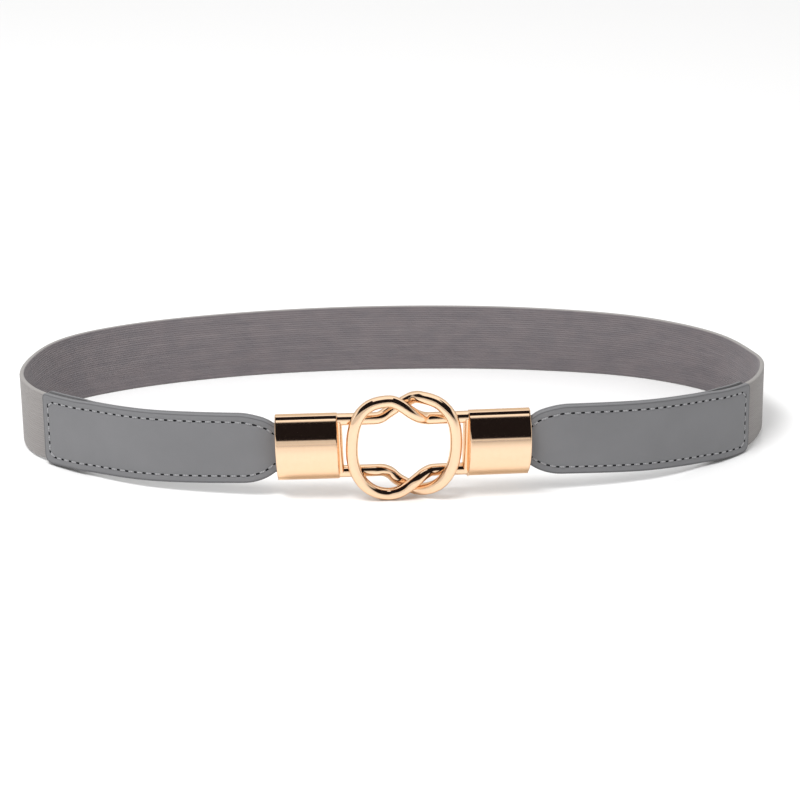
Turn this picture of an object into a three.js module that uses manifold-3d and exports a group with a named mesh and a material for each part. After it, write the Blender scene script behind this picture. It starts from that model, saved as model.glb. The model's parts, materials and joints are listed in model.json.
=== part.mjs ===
// Elastic stretch belt: ribbed elastic webbing, two stitched leather tabs and an interlocking wire buckle.
// Millimetres, +Z up. The belt stands fastened on its lower edge, buckle towards -Y, origin on the floor.
import * as THREE from 'three';
import { mergeVertices } from 'three/addons/utils/BufferGeometryUtils.js';
import Module from 'manifold-3d';

const wasm = await Module();
wasm.setup();

// Webbing and leather
const WEBBING_WIDTH = 25;
const WEBBING_THICKNESS = 1.7;
const WEBBING_EDGE = 0.4;            // softened corner of the webbing's section
const LEATHER_WIDTH = 26.4;
const FRONT_PLY = 1.3;
const BACK_PLY = 1.2;
const LEATHER_EDGE = 0.3;            // small bevel along every leather edge
const TAB_LENGTH = 92;               // visible leather, from sleeve mouth to far end
const WEBBING_TUCK = 15;             // webbing sewn in between the two plies
const PLY_MERGE = 9;                 // length over which the plies close up past the webbing's end
const CORNER_TOP_RADIUS = 2;
const CORNER_BOTTOM_RADIUS = 3.2;
const SHOULDER_RADIUS = 19;
const NECK_WIDTH = 17.8;
const NECK_TUCK = 17;                // leather held inside the sleeve
const CLEARANCE = 0.32;

// Loop seen from above
const LOOP_HALF_WIDTH = 135;
const BACK_DEPTH = 67.4;             // from the widest line to the back
const FRONT_DEPTH = 62.8;            // from the widest line to the buckle's centre

// Buckle
const WIRE_DIAMETER = 4.3;
const RING_REACH = 18.4;             // buckle centre to the far end of a hook, on the wire's centre line
const RING_HALF_HEIGHT = { left: 17.65, right: 17.9 };
const RING_CROWN = 5;                // how far past the centre a hook is at its tallest
const HOOK_PROUD = 2.8;              // how far a hook's far end stands in front of its own arms
const HOOK_CORNER = { upper: 0.74, lower: 1 };    // exponent of a hook's corners, 1 follows an ellipse
const SLEEVE_MOUTH = 44.5;           // buckle centre to the sleeve's open end
const SLEEVE_LENGTH = 21.8;
const SLEEVE_HEIGHT = 24.1;
const ARM_SPACING = 20.1;            // between the centre lines of the two arms
const SLEEVE_EDGE = 2;               // thickness of the sleeve's top and bottom edge
const SLEEVE_BULGE = 6.4;            // how far the rounded front stands out from that edge
const SLEEVE_BACK_WALL = 1.2;
const SLEEVE_BACK_BEVEL = 2.6;       // height over which the flat back slopes to the edge
const SLEEVE_END_WALL = 3;
const BAR_WIDTH = 1.4;               // the upright that joins the two arms in front of the sleeve
const BAR_DEPTH = 3.6;
const BUCKLE_LEAN = 4;               // degrees, the top tips forward
const BUCKLE_TURN = 4;               // degrees, each half swings back towards its sleeve
const BUCKLE_PITCH = { left: 2.2, right: 0.4 };   // degrees, each half drops towards its sleeve
const HOOK_SWING = { left: 5, right: 0 };         // degrees, a hook's top sits further from its sleeve
const BUCKLE_LIFT = { left: 0.6, right: 0 };      // how far each half is raised from a ring on the floor
const BUCKLE_OFFSET = -0.4;          // the buckle hangs slightly left of the loop's middle

// Resolution of the faceted solids
const WIRE_SIDES = 12;
const WIRE_STEPS = 72;
const FRONT_ARC_STEPS = 12;
const CORNER_STEPS = 4;
const STATION_GAP = 3.6;             // usual spacing of sections along the strap
const FINE_GAP = 1.8;                // spacing where the leather changes shape
const LENGTH_SAMPLES = 1200;         // steps that measure the strap's length
const MERGE_TOLERANCE = 0.0001;
const CURVE_TENSION = 0.5;

const SIDES = { left: -1, right: 1 };
const rad = THREE.MathUtils.degToRad;

// Each side of the loop, back to front. x is a share of LOOP_HALF_WIDTH and y of BACK_DEPTH or, where
// negative, of FRONT_DEPTH. rest is a share of the leather's overhang under the webbing, rise a share
// of the climb from there to the sleeve, and lean the outward lean in degrees.
const LOOP_BACK = { x: 0, y: 1, rest: 0, rise: 0, lean: 6.8 };
const LOOP_ROWS = {
  left: [
    { x: 0.410, y: 0.932, rest: 0, rise: 0, lean: 7.0 },
    { x: 0.735, y: 0.749, rest: 0, rise: 0, lean: 9.4 },
    { x: 0.904, y: 0.547, rest: 0, rise: 0, lean: 6.8 },
    { x: 0.974, y: 0.275, rest: 0.5, rise: 0, lean: 6.1 },
    { x: 1.005, y: 0.002, rest: 1, rise: 0, lean: 1.8 },
    { x: 0.980, y: -0.219, rest: 1, rise: 0, lean: -1.7 },
    { x: 0.906, y: -0.411, rest: 1, rise: 0.13, lean: -1.2 },
    { x: 0.679, y: -0.749, rest: 1, rise: 0.47, lean: -0.1 },
  ],
  right: [
    { x: 0.410, y: 0.944, rest: 0, rise: 0, lean: 3.2 },
    { x: 0.735, y: 0.768, rest: 0, rise: 0, lean: -1.3 },
    { x: 0.925, y: 0.487, rest: 0, rise: 0, lean: -3.6 },
    { x: 0.989, y: 0.179, rest: 0.5, rise: 0, lean: -1.2 },
    { x: 1.003, y: 0.002, rest: 1, rise: 0, lean: -0.4 },
    { x: 0.965, y: -0.259, rest: 1, rise: 0, lean: 0.6 },
    { x: 0.903, y: -0.442, rest: 1, rise: 0.03, lean: -1.6 },
    { x: 0.665, y: -0.782, rest: 1, rise: 0.55, lean: 0.1 },
  ],
};

// A strand of a buckle half, from its sleeve to the crown. along is a share of RING_REACH, counted from
// the buckle's centre away from the sleeve, and rise goes from the arm (0) to the crown (1). cross is a
// share of the clear offset of two crossing wires, forward on the right half and back on the left.
const STRAND_ROWS = {
  upper: [
    { along: -0.66, rise: 0.00, cross: 0.00 },
    { along: -0.43, rise: 0.02, cross: 0.10 },
    { along: -0.28, rise: 0.19, cross: 0.65 },
    { along: -0.13, rise: 0.44, cross: 1.00 },
    { along: 0.01, rise: 0.70, cross: 1.00 },
    { along: 0.14, rise: 0.90, cross: 0.90 },
  ],
  lower: [
    { along: -0.66, rise: 0.00, cross: 0.00 },
    { along: -0.54, rise: 0.01, cross: 0.08 },
    { along: -0.41, rise: 0.09, cross: 0.50 },
    { along: -0.25, rise: 0.33, cross: 0.95 },
    { along: -0.08, rise: 0.66, cross: 1.00 },
    { along: 0.09, rise: 0.89, cross: 1.00 },
  ],
};

// A quarter of the hook past the crown. angle runs in degrees from the crown to the far end, cross
// is as above, and proud is a share of HOOK_PROUD.
const HOOK_ROWS = [
  { angle: 0, cross: 0.60, proud: 0.15 },
  { angle: 20, cross: 0.25, proud: 0.50 },
  { angle: 40, cross: 0.00, proud: 0.85 },
  { angle: 60, cross: 0.00, proud: 1.00 },
  { angle: 80, cross: 0.00, proud: 1.00 },
];

const overhang = (LEATHER_WIDTH - WEBBING_WIDTH) / 2;
const wireRadius = WIRE_DIAMETER / 2;
const armHeight = ARM_SPACING / 2;
const strandOffset = wireRadius + CLEARANCE;
const slotDepth = 2 * Math.max(FRONT_PLY, BACK_PLY) + 3 * CLEARANCE;
const ringHeight = wireRadius + RING_HALF_HEIGHT.right;

// Where one half of the buckle stands: lean about X, then pitch about Y, then turn about Z.
function halfMatrix(name) {
  const side = SIDES[name];
  const pitch = side * rad(BUCKLE_PITCH[name]);
  const turn = new THREE.Euler(rad(BUCKLE_LEAN), pitch, side * rad(BUCKLE_TURN), 'ZYX');
  const matrix = new THREE.Matrix4().makeRotationFromEuler(turn);
  return matrix.setPosition(BUCKLE_OFFSET, -FRONT_DEPTH, ringHeight + BUCKLE_LIFT[name]);
}

// A point on the webbing's lower edge line, `reach` from the buckle's centre on a half's own axis.
function pointOnAxis(name, reach) {
  const local = new THREE.Vector3(SIDES[name] * reach, 0, -WEBBING_WIDTH / 2);
  return local.applyMatrix4(halfMatrix(name));
}

// Points of one side of the strap from the back to the end of its leather neck.
function sideKnots(name) {
  const side = SIDES[name];
  const mouth = pointOnAxis(name, SLEEVE_MOUTH);
  const knots = [LOOP_BACK, ...LOOP_ROWS[name]].map((row) => {
    const depth = row.y > 0 ? BACK_DEPTH : FRONT_DEPTH;
    const height = overhang * row.rest + (mouth.z - overhang) * row.rise;
    const point = new THREE.Vector3(side * row.x * LOOP_HALF_WIDTH, row.y * depth, height);
    return { point, lean: row.lean };
  });
  for (const reach of [SLEEVE_MOUTH + SHOULDER_RADIUS / 2, SLEEVE_MOUTH, SLEEVE_MOUTH - NECK_TUCK]) {
    knots.push({ point: pointOnAxis(name, reach), lean: BUCKLE_LEAN });
  }
  return knots;
}

// The whole strap line, from the left neck's end round the back to the right neck's end.
const leftKnots = sideKnots('left').reverse();
const rightKnots = sideKnots('right').slice(1);
const knots = [...leftKnots, ...rightKnots];
const points = knots.map((knot) => knot.point);
const leans = knots.map((knot) => new THREE.Vector3(knot.lean, 0, 0));
const line = new THREE.CatmullRomCurve3(points, false, 'centripetal');
const leanLine = new THREE.CatmullRomCurve3(leans, false, 'catmullrom', CURVE_TENSION);
line.arcLengthDivisions = LENGTH_SAMPLES;
const lineLength = line.getLength();

// Section frame at a distance along the strap: up follows the lean, out points away from the waist. The
// curve dips slightly before it climbs, and the floor stops it there.
function frameAt(distance) {
  const t = line.getUtoTmapping(THREE.MathUtils.clamp(distance / lineLength, 0, 1));
  const origin = line.getPoint(t);
  origin.z = Math.max(origin.z, 0);
  const tangent = line.getTangent(t);
  const lean = rad(leanLine.getPoint(t).x);
  const out = new THREE.Vector3(-tangent.y, tangent.x, 0).normalize();
  const up = new THREE.Vector3().crossVectors(out, tangent).normalize();
  if (up.z < 0) up.negate();
  const leanUp = up.clone().multiplyScalar(Math.cos(lean)).addScaledVector(out, Math.sin(lean));
  const leanOut = out.clone().multiplyScalar(Math.cos(lean)).addScaledVector(up, -Math.sin(lean));
  return { origin, up: leanUp, out: leanOut, slope: Math.tan(lean) };
}

// A bevelled rectangle of the section as [height, offset] pairs.
function bevelledSection(low, high, inner, outer, bevel) {
  const b = Math.min(bevel, (outer - inner) / 3);
  return [
    [low + b, inner], [low, inner + b], [low, outer - b], [low + b, outer],
    [high - b, outer], [high, outer - b], [high, inner + b], [high - b, inner],
  ];
}

// A closed solid through sections placed at distances along the strap. Points lower than levelBelow
// are kept level across the strap, whatever its lean, so that it stands on a flat edge.
function sweptGeometry(sections, levelBelow) {
  const count = sections[0].points.length;
  const positions = [];
  for (const { distance, points } of sections) {
    const { origin, up, out, slope } = frameAt(distance);
    for (const [height, offset] of points) {
      const level = height < levelBelow ? height + offset * slope : height;
      const place = origin.clone().addScaledVector(up, level).addScaledVector(out, offset);
      positions.push(place.x, place.y, place.z);
    }
  }
  const index = [];
  for (let row = 0; row < sections.length - 1; row += 1) {
    for (let k = 0; k < count; k += 1) {
      const a = row * count + k;
      const b = row * count + (k + 1) % count;
      index.push(a, b, a + count, b, b + count, a + count);
    }
  }
  const last = (sections.length - 1) * count;
  for (let k = 1; k < count - 1; k += 1) {
    index.push(0, k + 1, k);
    index.push(last, last + k, last + k + 1);
  }
  const geometry = new THREE.BufferGeometry();
  geometry.setAttribute('position', new THREE.Float32BufferAttribute(positions, 3));
  geometry.setIndex(index);
  geometry.computeVertexNormals();
  return geometry;
}

// Evenly spaced distances between two ends.
function spaced(from, to, gap) {
  const count = Math.max(1, Math.ceil(Math.abs(to - from) / gap));
  return Array.from({ length: count + 1 }, (_, k) => from + (to - from) * k / count);
}

// Where the webbing lies between the plies both have their sections at these distances from a tab's end.
const cornerLength = Math.max(CORNER_TOP_RADIUS, CORNER_BOTTOM_RADIUS);
const sewnStations = [
  ...spaced(0, cornerLength, cornerLength / CORNER_STEPS),
  ...spaced(cornerLength, WEBBING_TUCK, STATION_GAP).slice(1),
];

function webbingGeometry() {
  const tabEnd = NECK_TUCK + TAB_LENGTH;
  const half = WEBBING_THICKNESS / 2;
  const sewnLeft = sewnStations.map((fromEnd) => tabEnd - fromEnd).reverse();
  const free = spaced(tabEnd, lineLength - tabEnd, STATION_GAP).slice(1, -1);
  const sewnRight = sewnStations.map((fromEnd) => lineLength - tabEnd + fromEnd);
  const sections = [...sewnLeft, ...free, ...sewnRight].map((distance) => ({
    distance,
    points: bevelledSection(0, WEBBING_WIDTH, -half, half, WEBBING_EDGE),
  }));
  return sweptGeometry(sections, WEBBING_EDGE / 2);
}

// How far a rounded corner cuts in, at a distance from the tab's far end.
function cornerCut(fromEnd, radius) {
  if (fromEnd >= radius) return 0;
  return radius - Math.sqrt(radius ** 2 - (radius - fromEnd) ** 2);
}

// How far the shoulder cuts in towards the neck, at a distance from the sleeve's mouth.
function shoulderCut(fromMouth) {
  const drop = (LEATHER_WIDTH - NECK_WIDTH) / 2;
  const length = Math.sqrt(2 * SHOULDER_RADIUS * drop - drop ** 2);
  const into = THREE.MathUtils.clamp(length + CLEARANCE - fromMouth, 0, length);
  return SHOULDER_RADIUS - Math.sqrt(SHOULDER_RADIUS ** 2 - into ** 2);
}

// One leather ply. Its distance from the strap's middle closes up past the webbing's end.
function plyGeometry(name, ply) {
  const apart = WEBBING_THICKNESS / 2 + CLEARANCE;
  const closed = CLEARANCE / 2;
  const mergeStart = WEBBING_TUCK + CLEARANCE;
  const mergeEnd = WEBBING_TUCK + PLY_MERGE;
  const neckStart = TAB_LENGTH - CLEARANCE;
  const fromEnds = [
    ...sewnStations,
    ...spaced(mergeStart, mergeEnd, FINE_GAP),
    ...spaced(mergeEnd, TAB_LENGTH - SHOULDER_RADIUS, STATION_GAP).slice(1),
    ...spaced(TAB_LENGTH - SHOULDER_RADIUS, neckStart, FINE_GAP).slice(1),
    ...spaced(neckStart, TAB_LENGTH + NECK_TUCK, STATION_GAP).slice(1),
  ];
  const sections = fromEnds.map((fromEnd) => {
    const ease = THREE.MathUtils.smoothstep(fromEnd, mergeStart, mergeEnd);
    const near = THREE.MathUtils.lerp(apart, closed, ease);
    const [inner, outer] = ply > 0 ? [near, near + FRONT_PLY] : [-near - BACK_PLY, -near];
    const shoulder = shoulderCut(TAB_LENGTH - fromEnd);
    const low = -overhang + cornerCut(fromEnd, CORNER_BOTTOM_RADIUS) + shoulder;
    const high = WEBBING_WIDTH + overhang - cornerCut(fromEnd, CORNER_TOP_RADIUS) - shoulder;
    const along = NECK_TUCK + TAB_LENGTH - fromEnd;
    return {
      distance: name === 'left' ? along : lineLength - along,
      points: bevelledSection(low, high, inner, outer, LEATHER_EDGE),
    };
  });
  if (name === 'left') sections.reverse();
  return sweptGeometry(sections, -overhang);
}

function toSolid(geometry) {
  const bare = geometry.clone();
  bare.deleteAttribute('normal');
  bare.deleteAttribute('uv');
  const merged = mergeVertices(bare, MERGE_TOLERANCE);
  return new wasm.Manifold(new wasm.Mesh({
    numProp: 3,
    vertProperties: new Float32Array(merged.attributes.position.array),
    triVerts: new Uint32Array(merged.index.array),
  }));
}

function fromSolid(solid) {
  const mesh = solid.getMesh();
  const geometry = new THREE.BufferGeometry();
  geometry.setAttribute('position', new THREE.BufferAttribute(new Float32Array(mesh.vertProperties), 3));
  geometry.setIndex(new THREE.BufferAttribute(new Uint32Array(mesh.triVerts), 1));
  geometry.computeVertexNormals();
  return geometry;
}

function boxSolid(size, centre) {
  const box = new THREE.BoxGeometry(size.x, size.y, size.z);
  box.translate(centre.x, centre.y, centre.z);
  return toSolid(box);
}

// The centre line of one half's wire from its sleeve to the far end of its hook, on one of its arms.
function strandPoints(name, arm) {
  const away = -SIDES[name];
  const forward = -SIDES[name] * strandOffset;
  const level = arm === 'upper' ? 1 : -1;
  const halfHeight = RING_HALF_HEIGHT[name];
  const climb = halfHeight - armHeight;
  const armStart = -(SLEEVE_MOUTH - SLEEVE_LENGTH) - BAR_WIDTH / 2;
  const points = [new THREE.Vector3(away * armStart, 0, level * armHeight)];
  for (const row of STRAND_ROWS[arm]) {
    const x = row.along * RING_REACH;
    const z = armHeight + climb * row.rise;
    points.push(new THREE.Vector3(away * x, forward * row.cross, level * z));
  }
  for (const row of HOOK_ROWS) {
    const angle = rad(row.angle);
    const x = RING_CROWN + (RING_REACH - RING_CROWN) * Math.sin(angle) ** HOOK_CORNER[arm];
    const y = forward * row.cross - HOOK_PROUD * row.proud;
    const z = halfHeight * Math.cos(angle) ** HOOK_CORNER[arm];
    points.push(new THREE.Vector3(away * x, y, level * z));
  }
  return points;
}

// The wire of one half: out of the sleeve on the upper arm, round the hook and back on the lower arm.
function wireSolid(name) {
  const away = -SIDES[name];
  const route = [...strandPoints(name, 'upper'), ...strandPoints(name, 'lower').reverse()];
  for (const point of route) {
    const share = THREE.MathUtils.smoothstep(away * point.x, -RING_REACH / 2, 0);
    point.applyAxisAngle(THREE.Object3D.DEFAULT_UP, share * away * rad(HOOK_SWING[name]));
  }
  const path = new THREE.CatmullRomCurve3(route, false, 'centripetal');
  const section = new THREE.Shape();
  for (let k = 0; k < WIRE_SIDES; k += 1) {
    const angle = 2 * Math.PI * k / WIRE_SIDES;
    const [x, y] = [wireRadius * Math.cos(angle), wireRadius * Math.sin(angle)];
    if (k === 0) section.moveTo(x, y);
    else section.lineTo(x, y);
  }
  const options = { steps: WIRE_STEPS, bevelEnabled: false, extrudePath: path };
  return toSolid(new THREE.ExtrudeGeometry(section, options));
}

// The sleeve: flat back, rounded front, with a slot that holds the leather neck.
function sleeveSolid(name) {
  const side = SIDES[name];
  const back = slotDepth / 2 + SLEEVE_BACK_WALL;
  const half = SLEEVE_HEIGHT / 2;
  const edge = SLEEVE_EDGE / 2;
  const radius = (half ** 2 + SLEEVE_BULGE ** 2) / (2 * SLEEVE_BULGE);
  const reach = Math.asin(half / radius);
  const section = new THREE.Shape();
  section.moveTo(back, -half + SLEEVE_BACK_BEVEL);
  section.lineTo(edge, -half);
  for (let k = 0; k <= FRONT_ARC_STEPS; k += 1) {
    const angle = reach * (2 * k / FRONT_ARC_STEPS - 1);
    const depth = SLEEVE_BULGE - radius * (1 - Math.cos(angle));
    section.lineTo(-edge - depth, radius * Math.sin(angle));
  }
  section.lineTo(edge, half);
  section.lineTo(back, half - SLEEVE_BACK_BEVEL);
  section.closePath();
  const body = new THREE.ExtrudeGeometry(section, { depth: SLEEVE_LENGTH, bevelEnabled: false });
  // The section is drawn as depth and height, and the extrusion runs along the sleeve.
  const axes = new THREE.Matrix4().makeBasis(
    new THREE.Vector3(0, 1, 0), new THREE.Vector3(0, 0, 1), new THREE.Vector3(1, 0, 0));
  body.applyMatrix4(axes);
  const start = side > 0 ? SLEEVE_MOUTH - SLEEVE_LENGTH : -SLEEVE_MOUTH;
  body.translate(start, 0, 0);
  const slotLength = SLEEVE_LENGTH - SLEEVE_END_WALL;
  const slotSize = new THREE.Vector3(slotLength * 2, slotDepth, NECK_WIDTH + 2 * CLEARANCE);
  const slot = boxSolid(slotSize, new THREE.Vector3(side * SLEEVE_MOUTH, 0, 0));
  return toSolid(body).subtract(slot);
}

function barSolid(name) {
  const inset = SLEEVE_MOUTH - SLEEVE_LENGTH - BAR_WIDTH / 2 + CLEARANCE;
  const size = new THREE.Vector3(BAR_WIDTH, BAR_DEPTH, 2 * armHeight);
  return boxSolid(size, new THREE.Vector3(SIDES[name] * inset, 0, 0));
}

function buckleHalfGeometry(name) {
  return fromSolid(wireSolid(name).add(sleeveSolid(name)).add(barSolid(name)));
}

const webbingFinish = { color: 0x8f8a8b, roughness: 0.9, metalness: 0 };
const leatherFinish = { color: 0x858586, roughness: 0.5, metalness: 0 };
const metalFinish = { color: 0xf3d2ad, roughness: 0.12, metalness: 1 };

function addMesh(parent, name, geometry, finish) {
  const mesh = new THREE.Mesh(geometry, new THREE.MeshStandardMaterial(finish));
  mesh.name = name;
  parent.add(mesh);
  return mesh;
}

const belt = new THREE.Group();
addMesh(belt, 'elastic_webbing', webbingGeometry(), webbingFinish);
for (const name of ['left', 'right']) {
  addMesh(belt, `${name}_front_leather`, plyGeometry(name, 1), leatherFinish);
  addMesh(belt, `${name}_back_leather`, plyGeometry(name, -1), leatherFinish);
  const half = addMesh(belt, `${name}_buckle_half`, buckleHalfGeometry(name), metalFinish);
  half.applyMatrix4(halfMatrix(name));
}

// The origin goes to the middle of the belt's outline, on the surface that it stands on.
belt.updateMatrixWorld(true);
const bounds = new THREE.Box3().setFromObject(belt, true);
const middle = bounds.getCenter(new THREE.Vector3());
belt.position.set(-middle.x, -middle.y, -bounds.min.z);

export default belt;
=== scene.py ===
import json
import math
from bisect import bisect_left
from collections import namedtuple

import bmesh
import bpy
from bpy.props import FloatProperty, FloatVectorProperty, IntProperty, PointerProperty
from mathutils import Matrix, Vector

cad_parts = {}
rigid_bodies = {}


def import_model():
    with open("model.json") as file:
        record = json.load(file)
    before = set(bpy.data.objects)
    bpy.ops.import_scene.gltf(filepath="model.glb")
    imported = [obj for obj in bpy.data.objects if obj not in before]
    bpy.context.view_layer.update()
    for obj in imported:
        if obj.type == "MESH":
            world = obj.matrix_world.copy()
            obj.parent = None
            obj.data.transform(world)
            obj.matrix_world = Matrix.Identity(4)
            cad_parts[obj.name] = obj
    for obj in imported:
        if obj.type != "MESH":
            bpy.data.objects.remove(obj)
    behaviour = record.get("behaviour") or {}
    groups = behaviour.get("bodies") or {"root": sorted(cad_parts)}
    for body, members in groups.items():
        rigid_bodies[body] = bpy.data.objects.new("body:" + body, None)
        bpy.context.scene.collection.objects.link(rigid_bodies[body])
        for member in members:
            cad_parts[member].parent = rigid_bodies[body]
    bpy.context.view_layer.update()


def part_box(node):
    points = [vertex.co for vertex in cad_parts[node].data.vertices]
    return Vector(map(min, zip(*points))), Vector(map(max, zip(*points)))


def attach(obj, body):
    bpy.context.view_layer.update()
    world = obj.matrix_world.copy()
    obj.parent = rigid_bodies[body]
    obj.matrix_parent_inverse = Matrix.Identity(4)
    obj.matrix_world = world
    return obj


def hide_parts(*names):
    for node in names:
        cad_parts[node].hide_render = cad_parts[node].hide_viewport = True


bl_info = {
    "name": "Elastic stretch belt",
    "version": (1, 0, 0),
    "blender": (4, 5, 0),
    "location": "View3D > Sidebar > Belt",
    "description": "Ribbed elastic webbing, stitched leather tabs and a polished interlocking wire buckle",
    "category": "Object",
}

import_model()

MM = 0.001


def linear(red, green, blue):
    """A display colour, 0 to 255, as linear light."""
    shares = [c / 255 for c in (red, green, blue)]
    return tuple(c / 12.92 if c < 0.0405 else ((c + 0.055) / 1.055) ** 2.4 for c in shares)


# Sizes of the belt in millimetres. They are those of its CAD source.
WEBBING_WIDTH = 25
WEBBING_THICKNESS = 1.7
LEATHER_WIDTH = 26.4
FRONT_PLY = 1.3
BACK_PLY = 1.2
TAB_LENGTH = 92
WEBBING_TUCK = 15
PLY_MERGE = 9
CORNER_TOP_RADIUS = 2
CORNER_BOTTOM_RADIUS = 3.2
SHOULDER_RADIUS = 19
NECK_WIDTH = 17.8
NECK_TUCK = 17
CLEARANCE = 0.32
LOOP_HALF_WIDTH = 135
BACK_DEPTH = 67.4
FRONT_DEPTH = 62.8
WIRE_DIAMETER = 4.3
RING_REACH = 18.4
RING_HALF_HEIGHT = {"left": 17.65, "right": 17.9}
RING_CROWN = 5
HOOK_PROUD = 2.8
HOOK_CORNER = {1: 0.74, -1: 1}  # for the upper arm, 1, and the lower arm, -1
SLEEVE_MOUTH = 44.5
SLEEVE_LENGTH = 21.8
SLEEVE_HEIGHT = 24.1
ARM_SPACING = 20.1
SLEEVE_EDGE = 2
SLEEVE_BULGE = 6.4
SLEEVE_BACK_WALL = 1.2
SLEEVE_BACK_BEVEL = 2.6
SLEEVE_END_WALL = 3
BAR_WIDTH = 1.4
BAR_DEPTH = 3.6
BUCKLE_LEAN = 4
BUCKLE_TURN = 4
BUCKLE_PITCH = {"left": 2.2, "right": 0.4}
HOOK_SWING = {"left": 5, "right": 0}
BUCKLE_LIFT = {"left": 0.6, "right": 0}
BUCKLE_OFFSET = -0.4

# Shapes that are finer than the CAD's, in millimetres, but for shares.
WEBBING_STEP = 2.4
WEBBING_ROUND_SHARE = 0.8
WEBBING_FLAT_SHARE = 0.6
PLY_SEAT = 0.04
PLY_CLOSE = 0.02
PLY_INSETS = [0, 0.04, 0.12, 0.24, 0.38, 0.5, 0.62, 0.74, 0.9, 1.2,
              1.7, 2.2, 2.5, 2.8, 3.1, 3.4, 3.9, 4.8, 6.2]
SEAM_DEPTH = 0.16
SEAM_HALF_WIDTH = 0.45
CREASE_DEPTH = 0.10
CREASE_INSET = 0.62
CREASE_HALF_WIDTH = 0.16
STITCH_CORNER = 1.8
SLEEVE_CORNER = 0.7
SLEEVE_BACK_CORNER = 1.2
BAR_CORNER = 0.5
SOLDER_SPREAD = 0.9
SOLDER_BLOB = 1.5
SOLDER_RISE_SHARE = 0.6
SOLDER_TUCK = 0.3
SOLDER_SINK = 0.12

# How many steps the shapes are made in.
RIB_SAMPLES = 4
WEBBING_EDGE_STEPS = 6
WIRE_STEPS = 240
WIRE_SIDES = 40
TURN_STEPS = 5
SLEEVE_STEPS = 40
SOLDER_STEPS = 8
SOLDER_SIDES = 28

# The studio as the metal mirrors it. Angles are in degrees, 0 level to the front and 90 straight up, and
# x is how far a mirrored ray leans to the right.
DARK_START = 9.9
DARK_START_DRIFT = 22.7
DARK_END = 66
DARK_END_RISE = 30
STUDIO_LOW = (1.0, 1.0, 1.0)
STUDIO_STEPS = [(-20, 12, (0.76, 0.75, 0.75)), (45, 70, (1.2, 1.2, 1.2)), (110, 140, (0.8, 0.79, 0.78))]
STUDIO_DARK = (0.012, 0.010, 0.012)
BACKDROP = (1.0, 1.0, 1.0)
LAMP_PLACE = (-0.35, -0.5, 1.1)
LAMP_SIZE = (0.55, 0.4)
CAMERA_TARGET = (3.5, 33.4, 0)
FLOOR_HALF_WIDTH = 6

SIDES = {"left": -1, "right": 1}
OVERHANG = (LEATHER_WIDTH - WEBBING_WIDTH) / 2
SLOT_DEPTH = 2 * FRONT_PLY + 3 * CLEARANCE

LoopRow = namedtuple("LoopRow", "x y rest rise lean")
LOOP_BACK = LoopRow(0, 1, 0, 0, 6.8)
LOOP_ROWS = {
    "left": [
        LoopRow(0.410, 0.932, 0, 0, 7.0),
        LoopRow(0.735, 0.749, 0, 0, 9.4),
        LoopRow(0.904, 0.547, 0, 0, 6.8),
        LoopRow(0.974, 0.275, 0.5, 0, 6.1),
        LoopRow(1.005, 0.002, 1, 0, 1.8),
        LoopRow(0.980, -0.219, 1, 0, -1.7),
        LoopRow(0.906, -0.411, 1, 0.13, -1.2),
        LoopRow(0.679, -0.749, 1, 0.47, -0.1),
    ],
    "right": [
        LoopRow(0.410, 0.944, 0, 0, 3.2),
        LoopRow(0.735, 0.768, 0, 0, -1.3),
        LoopRow(0.925, 0.487, 0, 0, -3.6),
        LoopRow(0.989, 0.179, 0.5, 0, -1.2),
        LoopRow(1.003, 0.002, 1, 0, -0.4),
        LoopRow(0.965, -0.259, 1, 0, 0.6),
        LoopRow(0.903, -0.442, 1, 0.03, -1.6),
        LoopRow(0.665, -0.782, 1, 0.55, 0.1),
    ],
}
# How each arm runs from the sleeve to the hook: the upper arm, 1, and the lower arm, -1.
StrandRow = namedtuple("StrandRow", "along rise cross")
STRAND_ROWS = {
    1: [
        StrandRow(-0.66, 0.00, 0.00),
        StrandRow(-0.43, 0.02, 0.10),
        StrandRow(-0.28, 0.19, 0.65),
        StrandRow(-0.13, 0.44, 1.00),
        StrandRow(0.01, 0.70, 1.00),
        StrandRow(0.14, 0.90, 0.90),
    ],
    -1: [
        StrandRow(-0.66, 0.00, 0.00),
        StrandRow(-0.54, 0.01, 0.08),
        StrandRow(-0.41, 0.09, 0.50),
        StrandRow(-0.25, 0.33, 0.95),
        StrandRow(-0.08, 0.66, 1.00),
        StrandRow(0.09, 0.89, 1.00),
    ],
}
HookRow = namedtuple("HookRow", "angle cross proud")
HOOK_ROWS = [
    HookRow(0, 0.60, 0.15),
    HookRow(20, 0.25, 0.50),
    HookRow(40, 0.00, 0.85),
    HookRow(60, 0.00, 1.00),
    HookRow(80, 0.00, 1.00),
]


def smoothstep(value, low, high):
    """0 below low, 1 above high and smooth between them."""
    share = min(max((value - low) / (high - low), 0), 1)
    return share * share * (3 - 2 * share)


def spaced(low, high, gap):
    """Evenly spaced numbers from low to high, no further apart than gap."""
    count = max(1, math.ceil(abs(high - low) / gap))
    return [low + (high - low) * k / count for k in range(count + 1)]


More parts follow.
